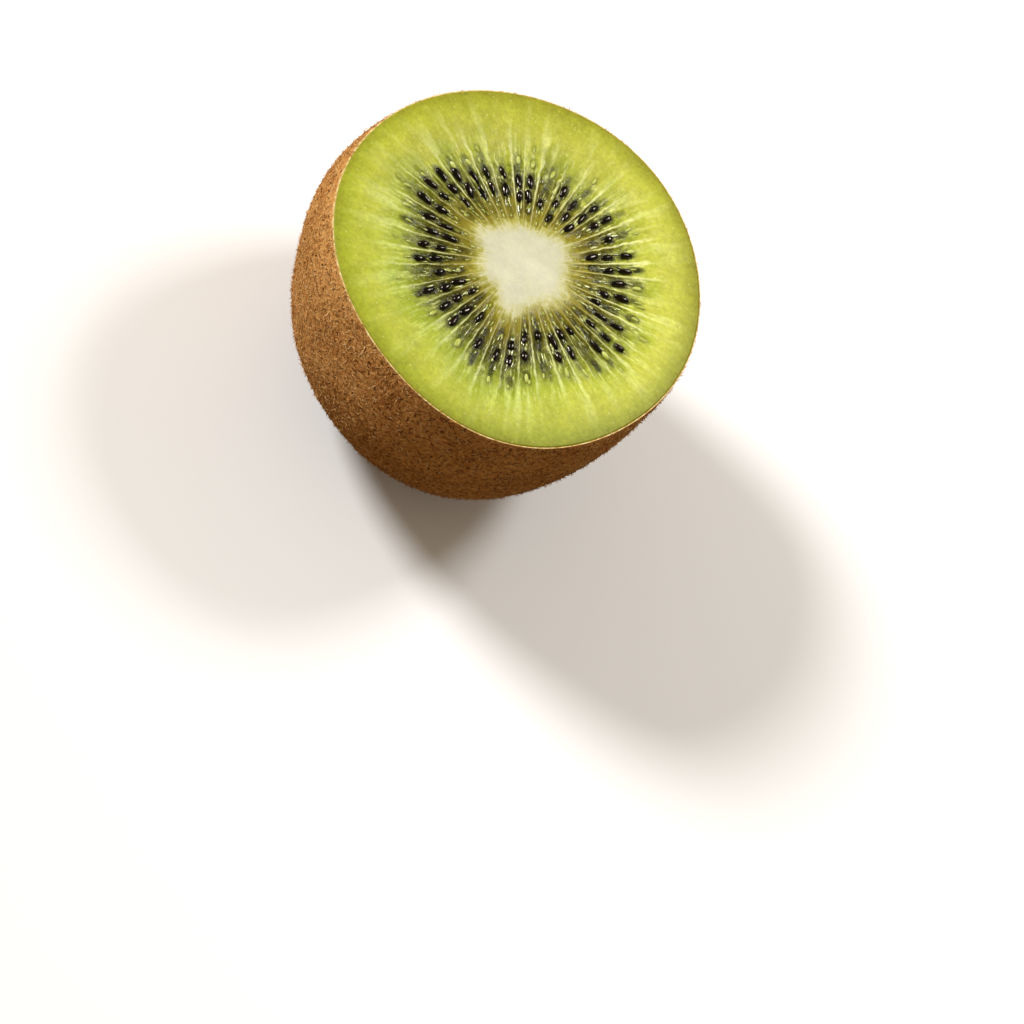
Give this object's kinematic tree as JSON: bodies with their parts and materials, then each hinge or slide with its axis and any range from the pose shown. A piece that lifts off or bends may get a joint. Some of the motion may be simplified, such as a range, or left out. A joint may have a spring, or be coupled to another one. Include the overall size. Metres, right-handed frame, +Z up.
{
  "type": "kiwi fruit half",
  "caption": "Half of a green kiwi fruit cut across the middle, with fuzzy brown skin, juicy green flesh, a white core and a ring of black seeds, standing on its closed end.",
  "frame": {"origin": "middle of the small flat spot at the closed end, on which the fruit stands", "axes": "+Z up along the fruit's own axis and out of the cut face, +Y along the wider way across the cut, away from the viewer, +X to the right"},
  "size_m": [0.0498, 0.0524, 0.0324],
  "materials": {
    "green_flesh": "moist, slightly translucent green fruit flesh",
    "pale_core": "soft pale fibrous core",
    "black_seed": "smooth wet seed coat",
    "fuzzy_skin": "thin brown skin with fine pits",
    "skin_hair": "short curly brown hairs"
  },
  "bodies": {
    "root": {"kiwi_half": "green_flesh"}
  },
  "joints": []
}
